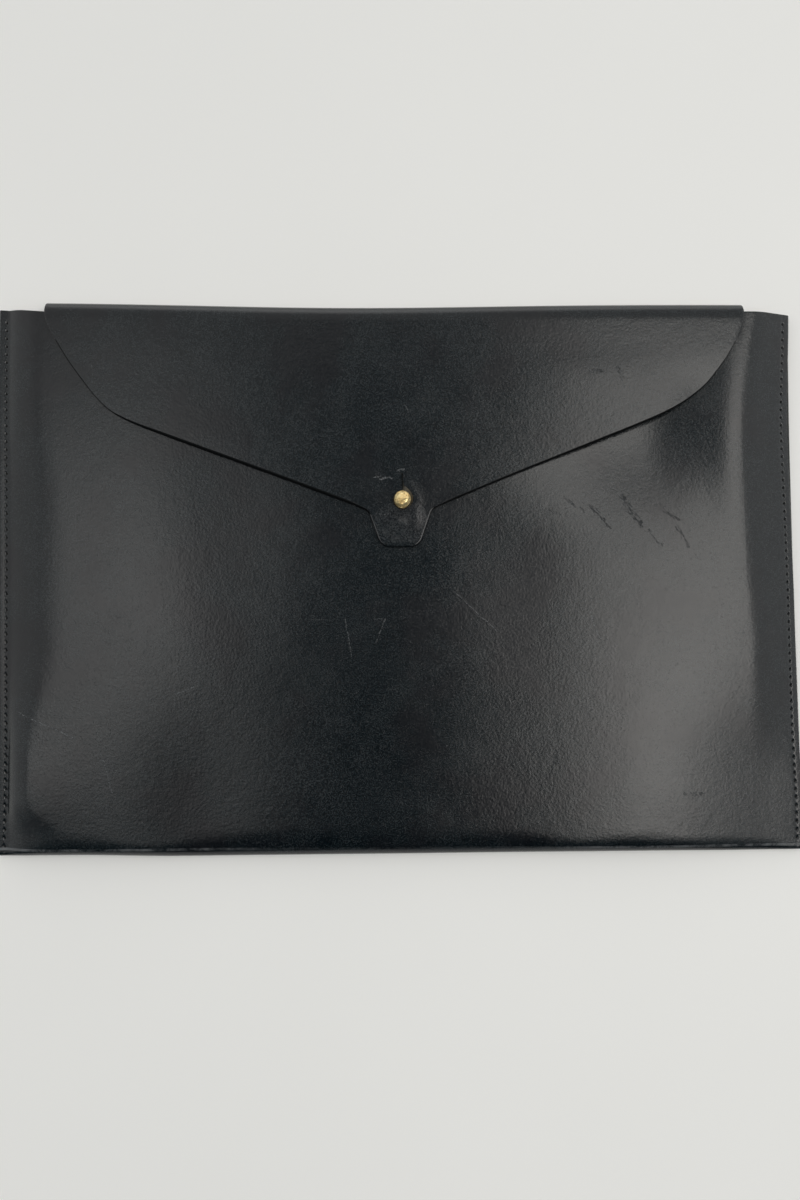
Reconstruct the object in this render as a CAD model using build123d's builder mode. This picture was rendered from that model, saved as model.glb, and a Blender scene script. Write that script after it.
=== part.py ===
from build123d import *

import math
import os

os.makedirs("parts", exist_ok=True)

# The leather sheet, and the wallet that it folds into, lying on its back with the mouth towards +Y.
leather = 1.6
body_width = 340.0
body_height = 231.0
mouth_corner_radius = 2.0
pocket_gap = 4.5

# Sewn side margins: the two layers lie together at the edge and part over a soft slope.
seam_flat = 7.0
seam_slope = 16.0
seam_gap = 0.1
slope_sections = 8

# Thread of each side seam.
stitch_inset = 3.1
stitch_pitch = 3.4
stitch_end_margin = 3.5
thread_width = 0.8
thread_thickness = 0.4
thread_proud = 0.1

# Turn of the sheet round the mouth, in strips that hinge on one another as the leather bends.
flap_clearance = 0.4
mouth_past_bend = 0.9
strip_count = 3
strip_gap = 0.04

# Flap outline: sloping lower edges, large round corners and a narrow tab.
flap_inset = 22.0
flap_length = 101.0
flap_slope = 21.3
flap_corner_run = 36.0
tab_length = 16.7
tab_root_width = 26.8
tab_end_width = 16.5
tab_corner_radius = 4.0
shoulder_radius = 4.0

# Ball stud, the screw that holds it from inside, and the keyhole that buttons over it.
stud_from_tab_end = 19.7
stud_height = 9.0
ball_diameter = 7.0
neck_diameter = 4.2
foot_diameter = 6.4
foot_thickness = 0.9
foot_bevel = 0.3
screw_shank = 2.4
screw_length = 5.5
screw_head_diameter = 8.0
screw_head_thickness = 1.2
screw_slot_width = 1.0
screw_slot_depth = 0.5
screw_clearance = 0.1
bore_end_clearance = 0.3
keyhole_clearance = 0.4
slit_length = 7.4
slit_width = 0.6

# Heights above the surface it lies on.
front_outer = 2 * leather + pocket_gap
front_inner = front_outer - leather
flap_inner = front_outer + flap_clearance
flap_outer = flap_inner + leather
bend_outer = flap_outer / 2
bend_inner = bend_outer - leather
seam_thickness = 2 * leather + seam_gap

# Places along the wallet, with the origin midway between its bottom fold and the turn of the flap.
bottom_y = -(body_height + bend_outer - mouth_past_bend) / 2
mouth_y = bottom_y + body_height
bend_y = mouth_y - mouth_past_bend
tab_end_y = bend_y - flap_length
stud_y = tab_end_y + stud_from_tab_end
side_x = body_width / 2
flap_side_x = side_x - flap_inset
seam_x = side_x - seam_flat
plateau_x = seam_x - seam_slope
stitch_x = side_x - stitch_inset
ball_z = front_outer + stud_height - ball_diameter / 2


def folded_section(x, gap):
    """Cross-section of the sheet folded once along the bottom, at the given distance from the middle."""
    radius = leather + gap / 2
    fold_y = bottom_y + radius
    with BuildSketch(Plane.YZ.offset(x)) as section:
        with BuildLine():
            Line((mouth_y, 0), (fold_y, 0))
            CenterArc((fold_y, radius), radius, 180, 90)
            CenterArc((fold_y, radius), radius, 90, 90)
            Line((fold_y, 2 * radius), (mouth_y, 2 * radius))
            Line((mouth_y, 2 * radius), (mouth_y, leather + gap))
            Line((mouth_y, leather + gap), (fold_y, leather + gap))
            CenterArc((fold_y, radius), gap / 2, 90, 90)
            CenterArc((fold_y, radius), gap / 2, 180, 90)
            Line((fold_y, leather), (mouth_y, leather))
            Line((mouth_y, leather), (mouth_y, 0))
        make_face()
    return section.sketch


# Side seams: each thread runs above and below the sheet and goes through it at every stitch.
seam_length = body_height - 2 * stitch_end_margin
stitch_count = math.floor(seam_length / stitch_pitch)
thread_height = seam_thickness + thread_proud
seams = []
for side, x in (("left", -stitch_x), ("right", stitch_x)):
    with BuildPart() as stitching:
        with BuildSketch(Plane.YZ.offset(x)):
            with Locations(((bottom_y + mouth_y) / 2, thread_height / 2)):
                Rectangle(stitch_count * stitch_pitch + thread_width, thread_height)
                with GridLocations(stitch_pitch, 0, stitch_count, 1):
                    Rectangle(
                        stitch_pitch - thread_width,
                        thread_height - 2 * thread_thickness,
                        mode=Mode.SUBTRACT,
                    )
        extrude(amount=thread_width / 2, both=True)
    stitching.part.label = f"{side}_stitching"
    export_step(stitching.part, f"parts/{side}_stitching.step")
    seams.append(stitching.part)

# Pocket: back panel, bottom fold and front panel in one sheet, closed by the seams at both sides.
slope_steps = [step / (slope_sections - 1) for step in range(slope_sections)]
with BuildPart() as pocket:
    extrude(folded_section(0, pocket_gap), amount=plateau_x)
    loft(
        [
            folded_section(
                plateau_x + seam_slope * step,
                seam_gap + (pocket_gap - seam_gap) * (1 + math.cos(math.pi * step)) / 2,
            )
            for step in slope_steps
        ],
        ruled=True,
    )
    extrude(folded_section(seam_x, seam_gap), amount=seam_flat)
    mirror(about=Plane.YZ)
    corners = pocket.edges().filter_by(Axis.Z).group_by(Axis.Y)[-1]
    fillet([edge for edge in corners if abs(edge.center().X) > seam_x], mouth_corner_radius)
    with BuildSketch():
        with Locations((0, (bend_y + mouth_y) / 2)):
            Rectangle(2 * flap_side_x, mouth_y - bend_y)
    extrude(amount=leather, mode=Mode.SUBTRACT)
    with BuildSketch(Plane.XY.offset(front_inner)):
        with Locations((0, stud_y)):
            Circle(screw_shank / 2 + screw_clearance)
    extrude(amount=leather, mode=Mode.SUBTRACT)
    add(seams, mode=Mode.SUBTRACT)
pocket.part.label = "pocket"
export_step(pocket.part, "parts/pocket.step")

# Turn over the mouth: strips of the sheet side by side round one axis.
gap_angle = math.degrees(strip_gap / bend_outer)
strip_angle = 180 / strip_count - gap_angle
for index in range(strip_count):
    start_angle = index * (strip_angle + gap_angle) + gap_angle / 2 - 90
    with BuildPart() as strip:
        with BuildSketch(Plane.YZ.offset(-flap_side_x)):
            with BuildLine():
                outer = CenterArc((bend_y, bend_outer), bend_outer, start_angle, strip_angle)
                inner = CenterArc((bend_y, bend_outer), bend_inner, start_angle, strip_angle)
                Line(outer @ 0, inner @ 0)
                Line(outer @ 1, inner @ 1)
            make_face()
        extrude(amount=2 * flap_side_x)
    strip.part.label = f"fold_strip_{index + 1}"
    export_step(strip.part, f"parts/fold_strip_{index + 1}.step")

# Flap: the free end of the sheet, with its tab and the keyhole cut through it.
shoulder_y = tab_end_y + tab_length
corner_x = flap_side_x - flap_corner_run
corner_y = shoulder_y + (corner_x - tab_root_width / 2) * math.tan(math.radians(flap_slope))
slope_direction = (math.cos(math.radians(flap_slope)), math.sin(math.radians(flap_slope)))
keyhole_radius = ball_diameter / 2 + keyhole_clearance
with BuildPart() as flap:
    with BuildSketch(Plane.XY.offset(flap_inner)) as outline:
        with BuildLine():
            Polyline(
                (0, tab_end_y),
                (tab_end_width / 2, tab_end_y),
                (tab_root_width / 2, shoulder_y),
                (corner_x, corner_y),
            )
            TangentArc((corner_x, corner_y), (flap_side_x, bend_y), tangent=slope_direction)
            Line((flap_side_x, bend_y), (0, bend_y))
            mirror(about=Plane.YZ)
        make_face()
        rows = outline.vertices().group_by(Axis.Y)
        fillet(rows[0], tab_corner_radius)
        fillet(outline.vertices().filter_by_position(Axis.Y, shoulder_y, shoulder_y), shoulder_radius)
        with Locations((0, stud_y)):
            Circle(keyhole_radius, mode=Mode.SUBTRACT)
            Rectangle(
                slit_width,
                keyhole_radius + slit_length,
                align=(Align.CENTER, Align.MIN),
                mode=Mode.SUBTRACT,
            )
    extrude(amount=leather)
flap.part.label = "flap"
export_step(flap.part, "parts/flap.step")

# Stud head: ball, neck and foot turned in one piece, bored from below for the screw.
ball_radius = ball_diameter / 2
neck_radius = neck_diameter / 2
neck_top = ball_z - math.sqrt(ball_radius**2 - neck_radius**2)
foot_top = front_outer + foot_thickness
bore_top = front_inner + screw_length + bore_end_clearance
with BuildPart() as stud_head:
    with BuildSketch(Plane.XZ.offset(-stud_y)):
        with BuildLine():
            Polyline(
                (0, front_outer),
                (foot_diameter / 2, front_outer),
                (foot_diameter / 2, foot_top),
                (neck_radius, foot_top),
                (neck_radius, neck_top),
            )
            ThreePointArc((neck_radius, neck_top), (ball_radius, ball_z), (0, ball_z + ball_radius))
            Line((0, ball_z + ball_radius), (0, front_outer))
        make_face()
    revolve(axis=Axis((0, stud_y, 0), (0, 0, 1)))
    foot_rim = stud_head.edges().filter_by(GeomType.CIRCLE).filter_by_position(Axis.Z, foot_top, foot_top)
    chamfer(foot_rim.sort_by(SortBy.RADIUS)[-1], foot_bevel)
    with BuildSketch(Plane.XY.offset(front_outer)):
        with Locations((0, stud_y)):
            Circle(screw_shank / 2 + screw_clearance)
    extrude(amount=bore_top - front_outer, mode=Mode.SUBTRACT)
stud_head.part.label = "stud_head"
export_step(stud_head.part, "parts/stud_head.step")

# Stud screw: slotted flat head against the inside of the front panel, shank up into the stud.
head_bottom = front_inner - screw_head_thickness
with BuildPart() as stud_screw:
    with BuildSketch(Plane.XY.offset(head_bottom)):
        with Locations((0, stud_y)):
            Circle(screw_head_diameter / 2)
    extrude(amount=screw_head_thickness)
    with BuildSketch(Plane.XY.offset(front_inner)):
        with Locations((0, stud_y)):
            Circle(screw_shank / 2)
    extrude(amount=screw_length)
    with BuildSketch(Plane.XY.offset(head_bottom)):
        with Locations((0, stud_y)):
            Rectangle(screw_head_diameter, screw_slot_width)
    extrude(amount=screw_slot_depth, mode=Mode.SUBTRACT)
stud_screw.part.label = "stud_screw"
export_step(stud_screw.part, "parts/stud_screw.step")
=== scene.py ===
import math

import bmesh
import bpy
import numpy as np
from mathutils import Matrix, Vector
from mathutils.geometry import delaunay_2d_cdt


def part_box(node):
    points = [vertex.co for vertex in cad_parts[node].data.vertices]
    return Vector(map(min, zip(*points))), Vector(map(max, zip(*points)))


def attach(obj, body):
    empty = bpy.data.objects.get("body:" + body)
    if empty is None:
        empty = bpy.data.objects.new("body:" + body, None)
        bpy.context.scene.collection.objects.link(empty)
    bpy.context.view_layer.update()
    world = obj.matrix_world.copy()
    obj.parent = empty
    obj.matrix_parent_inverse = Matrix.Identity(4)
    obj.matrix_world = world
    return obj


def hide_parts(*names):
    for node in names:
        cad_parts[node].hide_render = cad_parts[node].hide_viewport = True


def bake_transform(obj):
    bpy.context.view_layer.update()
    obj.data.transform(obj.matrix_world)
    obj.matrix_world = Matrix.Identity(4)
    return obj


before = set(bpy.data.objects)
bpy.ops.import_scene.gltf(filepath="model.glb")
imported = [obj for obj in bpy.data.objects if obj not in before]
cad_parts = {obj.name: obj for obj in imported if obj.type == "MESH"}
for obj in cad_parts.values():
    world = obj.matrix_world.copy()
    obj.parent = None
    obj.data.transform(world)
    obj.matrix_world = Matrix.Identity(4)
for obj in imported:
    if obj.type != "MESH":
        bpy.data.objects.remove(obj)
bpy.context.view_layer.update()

# Pocket: one sheet of vegetable-tanned hide, dyed black and waxed, folded up once along the bottom,
# front over back. The layers lie together under the side seams and part over a soft slope, and the
# front panel waves a little with use.
mm = 0.001
pocket_low, pocket_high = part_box("pocket")
flap_low, flap_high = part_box("flap")
leather = flap_high.z - flap_low.z
half_leather = leather / 2
edge_round = 0.4 * mm
side_x, mouth_y, bottom_y = pocket_high.x, pocket_high.y, pocket_low.y
bend_y = flap_high.y
turn_left, turn_right = 150.2 * mm, 147.2 * mm
open_gap = pocket_high.z - 2 * leather
seam_gap = 0.1 * mm
hollow_depth = 4.2 * mm
stitch_low, stitch_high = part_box("right_stitching")
stitch_x = (stitch_low.x + stitch_high.x) / 2
stitch_pitch = 3.4 * mm
stitch_count = round((stitch_high.y - stitch_low.y) / stitch_pitch)
stitch_start = (stitch_low.y + stitch_high.y - stitch_count * stitch_pitch) / 2
awl_reach = 0.5 * mm
awl_sink = 0.7 * mm
groove_sink = 0.10 * mm
deep_dye = (0.0003, 0.0012, 0.0019, 1)
worn_dye = (0.0010, 0.0048, 0.0074, 1)
pale_grain = (0.0205, 0.0246, 0.0270, 1)
violet_fade = (0.0040, 0.0034, 0.0052, 1)
# Colour of bare hide, for scuffed places and for painted highlights.
bare_hide_and_highlight = (0.115, 0.122, 0.128, 1)
# Painted shade for the awl holes of the seams.
painted_hole_shade = (0.0006, 0.0006, 0.0007, 1)


def feed(tree, node, values):
    """Set a node's inputs in their order, or link those that are given as sockets."""
    for socket, value in zip(node.inputs, values):
        if isinstance(value, bpy.types.NodeSocket):
            tree.links.new(value, socket)
        else:
            socket.default_value = value


def math_node(tree, operation, *values, clamp=False):
    """Result of a Math node whose inputs are sockets or numbers."""
    node = tree.nodes.new("ShaderNodeMath")
    node.operation = operation
    node.use_clamp = clamp
    feed(tree, node, values)
    return node.outputs[0]


def vector_node(tree, operation, *values):
    """Outputs of a Vector Math node whose inputs are sockets or triples."""
    node = tree.nodes.new("ShaderNodeVectorMath")
    node.operation = operation
    feed(tree, node, values)
    return node.outputs


def ramp(tree, value, low, high, to_low=0.0, to_high=1.0):
    """Smooth step of a value from one level to another."""
    node = tree.nodes.new("ShaderNodeMapRange")
    node.interpolation_type = "SMOOTHSTEP"
    feed(tree, node, (value, low, high, to_low, to_high))
    return node.outputs["Result"]


def layered(tree, base, *layers):
    """A base value with layers added to it, each by its own weight."""
    total = base
    for layer, weight in layers:
        total = math_node(tree, "MULTIPLY_ADD", layer, weight, total)
    return total


def noise(tree, place, scale, detail=3.0, roughness=0.55):
    """Noise in cycles per millimetre."""
    node = tree.nodes.new("ShaderNodeTexNoise")
    tree.links.new(place, node.inputs["Vector"])
    node.inputs["Scale"].default_value = scale
    node.inputs["Detail"].default_value = detail
    node.inputs["Roughness"].default_value = roughness
    return node.outputs["Fac"]


def place_in_mm(tree):
    """Object coordinates of the piece, in millimetres."""
    where = tree.nodes.new("ShaderNodeTexCoord").outputs["Object"]
    return vector_node(tree, "MULTIPLY", where, (1 / mm, 1 / mm, 1 / mm))["Vector"]


def tones(tree, value, *stops):
    """A colour that follows a value through stops, each a place and a colour."""
    node = tree.nodes.new("ShaderNodeValToRGB")
    elements = node.color_ramp.elements
    for element, (place, colour) in zip(elements, (stops[0], stops[-1])):
        element.position = place
        element.color = colour
    for place, colour in stops[1:-1]:
        elements.new(place).color = colour
    tree.links.new(value, node.inputs["Fac"])
    return node.outputs["Color"]


def mixed(tree, share, first, second):
    """A colour socket that goes to a second colour by a share."""
    node = tree.nodes.new("ShaderNodeMix")
    node.data_type = "RGBA"
    tree.links.new(share, node.inputs["Factor"])
    tree.links.new(first, node.inputs["A"])
    node.inputs["B"].default_value = second
    return node.outputs["Result"]


def emboss(tree, shader, height, depth):
    """Give the surface a fine relief from a height and its depth."""
    bump = tree.nodes.new("ShaderNodeBump")
    bump.inputs["Strength"].default_value = 1.0
    bump.inputs["Distance"].default_value = depth
    tree.links.new(height, bump.inputs["Height"])
    tree.links.new(bump.outputs["Normal"], shader.inputs["Normal"])


def new_material(name):
    """A new material, its node tree and its shader."""
    material = bpy.data.materials.new(name)
    material.use_nodes = True
    return material, material.node_tree, material.node_tree.nodes["Principled BSDF"]


def scratch(tree, flat_place, start, end, width, soft):
    """Mask of one straight scratch between two points, in millimetres."""
    run = Vector((end[0] - start[0], end[1] - start[1], 0))
    offset = vector_node(tree, "SUBTRACT", flat_place, (*start, 0))["Vector"]
    along = vector_node(tree, "DOT_PRODUCT", offset, run)["Value"]
    share = math_node(tree, "DIVIDE", along, run.length_squared, clamp=True)
    nearest = vector_node(tree, "SCALE", run)["Vector"]
    tree.links.new(share, nearest.node.inputs["Scale"])
    gap = vector_node(tree, "DISTANCE", offset, nearest)["Value"]
    return ramp(tree, gap, width / 2, width / 2 + soft, 1.0, 0.0)


def marks(tree, flat_place, faint, scratches, soft):
    """The deepest mark at each place: a faint one, or one of the scratches of a list."""
    deepest = faint
    for start, end, width, depth in scratches:
        line = scratch(tree, flat_place, start, end, width, soft)
        deepest = math_node(tree, "MAXIMUM", deepest, math_node(tree, "MULTIPLY", line, depth))
    return deepest


def streaks(tree, place, angle, low, high):
    """Random fine scratches that run in one direction."""
    mapping = tree.nodes.new("ShaderNodeMapping")
    mapping.inputs["Rotation"].default_value = (0, 0, math.radians(angle))
    mapping.inputs["Scale"].default_value = (0.05, 1.1, 0.3)
    tree.links.new(place, mapping.inputs["Vector"])
    return ramp(tree, noise(tree, mapping.outputs["Vector"], 1.0, 2.0), low, high)


def worn_and_glint_line(tree, place, split, line_y, line_lean, line_width):
    """Mask of a line along the width that is rubbed bare in places and carries a painted highlight for the
    glint of the fold's crest, least in the middle.
    """
    level = math_node(tree, "MULTIPLY_ADD", split["X"], line_lean, line_y)
    near = math_node(tree, "ABSOLUTE", math_node(tree, "SUBTRACT", split["Y"], level))
    line = ramp(tree, near, line_width / 2, line_width, 1.0, 0.0)
    broken = ramp(tree, noise(tree, place, 0.05, 6.0, 0.8), 0.36, 0.66)
    off_middle = ramp(tree, math_node(tree, "ABSOLUTE", split["X"]), 50, 100, 0.2, 1.0)
    return math_node(tree, "MULTIPLY", line, math_node(tree, "MULTIPLY", broken, off_middle))


def leather_material(name, cuts, scuffs_and_highlights, wear_and_glint=None, holes=False):
    """Black leather with its own cuts, scuffed marks and painted highlights and, where given, a rubbed line
    with a painted highlight and awl holes darkened with painted shade.
    """
    material, tree, shader = new_material(name)
    place = place_in_mm(tree)

    cells = tree.nodes.new("ShaderNodeTexVoronoi")
    cells.inputs["Scale"].default_value = 1.25
    tree.links.new(place, cells.inputs["Vector"])
    pores = ramp(tree, cells.outputs["Distance"], 0.05, 0.25, 1.0, 0.0)
    thinned = ramp(tree, noise(tree, place, 0.7, 2.0), 0.4, 0.6, 0.3, 1.0)
    pores = math_node(tree, "MULTIPLY", pores, thinned)
    pebbles = noise(tree, place, 0.9, 2.0)
    fibres = noise(tree, place, 2.1, 2.0, 0.7)
    wrinkles = noise(tree, place, 0.22, 2.0)
    clouds = noise(tree, place, 0.018, 3.0)
    handling = noise(tree, place, 0.07, 4.0, 0.65)

    wander = 1.4
    shake = tree.nodes.new("ShaderNodeTexNoise")
    shake.inputs["Scale"].default_value = 0.25
    tree.links.new(place, shake.inputs["Vector"])
    flat_place = vector_node(tree, "MULTIPLY", place, (1, 1, 0))["Vector"]
    flat_place = vector_node(
        tree, "MULTIPLY_ADD", shake.outputs["Color"], (wander, wander, 0), flat_place
    )["Vector"]
    flat_place = vector_node(tree, "SUBTRACT", flat_place, (wander / 2, wander / 2, 0))["Vector"]
    parted = tree.nodes.new("ShaderNodeSeparateXYZ")
    tree.links.new(place, parted.inputs[0])
    split = parted.outputs
    front_only = ramp(tree, split["Z"], 2.0, 3.0)
    speckle = ramp(tree, noise(tree, place, 1.3, 3.0, 0.7), 0.44, 0.60)

    faint = math_node(
        tree, "MAXIMUM", streaks(tree, place, 24, 0.70, 0.78), streaks(tree, place, 118, 0.72, 0.8)
    )
    cut = marks(tree, flat_place, math_node(tree, "MULTIPLY", faint, 0.15), cuts, 0.5)
    slanted = tree.nodes.new("ShaderNodeMapping")
    slanted.vector_type = "TEXTURE"
    slanted.inputs["Rotation"].default_value = (0, 0, math.radians(-48))
    slanted.inputs["Scale"].default_value = (6.0, 1.2, 4.0)
    tree.links.new(place, slanted.inputs["Vector"])
    crack = math_node(tree, "SUBTRACT", noise(tree, slanted.outputs["Vector"], 1.0, 3.0), 0.5)
    crack = ramp(tree, math_node(tree, "ABSOLUTE", crack), 0.004, 0.035, 1.0, 0.0)
    cut = math_node(tree, "MULTIPLY", math_node(tree, "MULTIPLY", cut, crack), front_only)
    # Pale marks: scuffed places, and on the flap broad painted highlights beside the stud.
    scuff_and_highlight = marks(tree, flat_place, math_node(tree, "MULTIPLY", faint, 0.12), scuffs_and_highlights, 0.25)
    scuff_and_highlight = math_node(tree, "MULTIPLY", math_node(tree, "MULTIPLY", scuff_and_highlight, speckle), front_only)
    # The rubbed line along the bottom fold is pale partly from rubbing and partly as a painted highlight for
    # the glint of the fold's crest.
    if wear_and_glint:
        worn = math_node(tree, "MULTIPLY", worn_and_glint_line(tree, place, split, *wear_and_glint), front_only)
        scuff_and_highlight = math_node(tree, "MAXIMUM", scuff_and_highlight, worn)

    shade = layered(tree, -1.54, (handling, 0.5), (pebbles, 0.7), (fibres, 3.0), (pores, -0.3))
    colour = tones(tree, shade, (0.2, deep_dye), (0.55, worn_dye), (0.95, pale_grain))
    faded = ramp(tree, noise(tree, place, 0.028, 3.0, 0.6), 0.46, 0.66, 0.0, 0.6)
    colour = mixed(tree, faded, colour, violet_fade)
    colour = mixed(tree, scuff_and_highlight, colour, bare_hide_and_highlight)
    gloss = layered(tree, 0.05, (clouds, 0.12), (fibres, 0.10), (handling, 0.07), (scuff_and_highlight, 0.25))
    # The awl holes are darkened as painted shade in the holes, and made rougher.
    if holes:
        attribute = tree.nodes.new("ShaderNodeAttribute")
        attribute.attribute_name = "awl_hole"
        hole = ramp(tree, attribute.outputs["Fac"], 0.25, 0.6)
        colour = mixed(tree, hole, colour, painted_hole_shade)
        gloss = layered(tree, gloss, (hole, 0.6))
    tree.links.new(colour, shader.inputs["Base Color"])
    tree.links.new(gloss, shader.inputs["Roughness"])
    raised = ((pebbles, 0.055), (fibres, 0.022), (wrinkles, 0.050))
    sunken = ((pores, -0.038), (cut, -0.12), (scuff_and_highlight, -0.03))
    emboss(tree, shader, layered(tree, 0.0, *raised, *sunken), mm)
    return material


def new_piece(name, vertices, faces, material):
    """A smooth closed mesh object, its doubles merged and its sharp edges kept."""
    mesh = bpy.data.meshes.new(name)
    mesh.from_pydata([tuple(v) for v in vertices], [], faces)
    mesh.validate()
    shell = bmesh.new()
    shell.from_mesh(mesh)
    bmesh.ops.remove_doubles(shell, verts=shell.verts, dist=0.002 * mm)
    bmesh.ops.recalc_face_normals(shell, faces=shell.faces)
    shell.to_mesh(mesh)
    shell.free()
    mesh.shade_smooth()
    mesh.set_sharp_from_angle(angle=math.radians(38))
    mesh.materials.append(material)
    piece = bpy.data.objects.new(name, mesh)
    bpy.context.scene.collection.objects.link(piece)
    return piece


def smooth_step(value, low, high):
    """0 below low, 1 above high, smooth between."""
    share = np.clip((np.asarray(value, float) - low) / (high - low), 0, 1)
    return share * share * (3 - 2 * share)


def hump(x, y, centre, spread, height):
    """One soft swelling or hollow of a panel."""
    dx, dy = (x - centre[0] * mm) / (spread[0] * mm), (y - centre[1] * mm) / (spread[1] * mm)
    return height * mm * np.exp(-(dx * dx + dy * dy) / 2)


def slope_profile(share, tilt):
    """Height along a slope from 0 to 1, from how steep it is at each place."""
    grid = np.linspace(0, 1, 401)
    height = np.concatenate([[0], np.cumsum((tilt(grid[1:]) + tilt(grid[:-1])) / 2)])
    return np.interp(share, grid, height / height[-1])


def crest_x(y):
    """Where the ridge beside the right seam runs."""
    above = np.clip((y / mm - 45) / 60, 0, 1.2)
    below = np.clip((45 - y / mm) / 73, 0, 1)
    return (145 + 5.5 * above**2 + 3.6 * below**1.5) * mm


def right_slope(x, y):
    """The straight slope from the ridge down to the right edge."""
    return slope_profile((side_x - x) / (side_x - crest_x(y)), lambda u: 1 - smooth_step(u, 0.55, 1.1))


def seam_rise(x, y):
    """How far the layers have parted beside a seam: straight on the right, worn round on the left."""
    from_edge = side_x - np.abs(x)
    straight = right_slope(np.maximum(x, 0), y)
    low = slope_profile(from_edge / (75 * mm), lambda u: 1 - smooth_step(u, 0.6, 1.1))
    right = straight + (low - straight) * (1 - smooth_step(y, -90 * mm, -25 * mm))
    length = 20 + 8 * (1 - smooth_step(y, 25 * mm, 75 * mm)) - 16 * smooth_step(-y, 25 * mm, 82 * mm)
    length = (length + 20 * smooth_step(-y, 97 * mm, 117 * mm)) * mm
    left = slope_profile((from_edge - 3.4 * mm) / length, lambda u: smooth_step(u, 0, 0.1) * (1.04 - u) ** 2)
    return np.where(x > 0, right, left)


def front_wave(x, y):
    """How far the front panel stands off its plane, from years of papers and handling."""
    wave = hump(x, y, (-95, -40), (30, 60), 0.35) + hump(x, y, (95, -45), (34, 60), 0.4)
    wave += hump(x, y, (0, -70), (45, 28), -0.25) + hump(x, y, (-35, 5), (26, 30), 0.12)
    ripple = np.sin(x / (9 * mm) + 0.5 * np.sin(y / (40 * mm)))
    wave += 0.09 * mm * ripple * (0.6 + 0.4 * np.sin(y / (33 * mm) + 1))
    wave += 0.15 * mm * np.sin(x / (17 * mm) + 1.3 + 0.5 * np.sin(y / (29 * mm)))
    wave += hump(x, y, (-88, -92), (18, 28), -1.3)
    middle = 1 - smooth_step(np.abs(x + 8 * mm), 45 * mm, 100 * mm)
    scallop = 7.0 + 4.5 * middle + 1.3 * np.sin(x / (13 * mm)) + 0.9 * np.sin(x / (7.1 * mm) + 1)
    rounding = np.clip(1 - (y - bottom_y - bottom_lift(x)) / (scallop * mm), 0, 1) ** 2
    wave -= (0.9 + 0.5 * middle) * mm * rounding
    under_turn = 1 - smooth_step(np.abs(x), 140 * mm, 150 * mm)
    wave -= 0.7 * mm * smooth_step(y, bend_y - 12 * mm, bend_y - 2 * mm) * under_turn
    settle = smooth_step(side_x - np.abs(x), 3 * mm, 22 * mm)
    from_crest = crest_x(y) - x
    hollow = smooth_step(from_crest, 1 * mm, 42 * mm) * (1 - smooth_step(from_crest, 42 * mm, 110 * mm))
    wave -= hollow_depth * hollow * smooth_step(y, 4 * mm, 62 * mm)
    ridge_height = 0.7 * mm * smooth_step(y, -45 * mm, 45 * mm)
    inner_side = np.exp(-((from_crest / (10 * mm)) ** 2))
    ridge = np.where(from_crest > 0, inner_side, right_slope(np.maximum(x, 0), y))
    wave = wave * settle + ridge_height * ridge
    return wave + hump(x, y, (-160, -94), (15, 17), 1.1) * smooth_step(side_x + x, 3.4 * mm, 14 * mm)


def side_shift(x, y):
    """How the sewn sides draw in and flare along their length."""
    right = -1.35 * mm * np.exp(-(((y - 40 * mm) / (58 * mm)) ** 2)) - 0.5 * mm
    right -= 1.0 * mm * np.exp(-(((y - 68 * mm) / (28 * mm)) ** 2))
    right -= 0.3 * mm * np.exp(-(((y + 38 * mm) / (25 * mm)) ** 2))
    right += 1.0 * mm * smooth_step(-y, 60 * mm, 105 * mm)
    left = 0.6 * mm * np.exp(-(((y + 80 * mm) / (45 * mm)) ** 2))
    left -= 1.1 * mm * smooth_step(y, -20 * mm, 95 * mm)
    pull = smooth_step(np.abs(x), side_x - 45 * mm, side_x - 8 * mm)
    return pull * np.where(x > 0, right, left)


def mouth_sag(x):
    """How far the turn of the flap has settled towards the bottom in the middle."""
    return (0.9 + 1.85 * np.exp(-(((x / mm + 24) / 84) ** 2))) * mm


def front_mouth(x):
    """Where the front panel's mouth edge lies along the width."""
    drawn = 0.7 * mouth_sag(x) + 0.6 * mm * math.exp(-(((x / mm + 146) / 8) ** 2))
    return mouth_y - drawn + 1.35 * mm * smooth_step(-x, 152 * mm, 170 * mm)


def bottom_lift(x):
    """How far the bottom fold is drawn up along the width, most of all at the left corner."""
    left = smooth_step(-x, 90 * mm, 140 * mm) - 0.3 * smooth_step(-x, 150 * mm, 170 * mm)
    return (0.3 + left - 0.5 * smooth_step(x, 100 * mm, 150 * mm)) * mm


def stitch_mark(x, y):
    """1 in the middle of an awl hole of the seams, 0 away from them."""
    across = (np.abs(x) - stitch_x) / awl_reach
    phase = (y - stitch_start) / stitch_pitch
    along = (phase - np.round(phase)) * stitch_pitch / awl_reach
    sewn = (phase > -0.3) & (phase < stitch_count + 0.3)
    return np.exp(-(across**2) - along**2) * sewn


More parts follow.
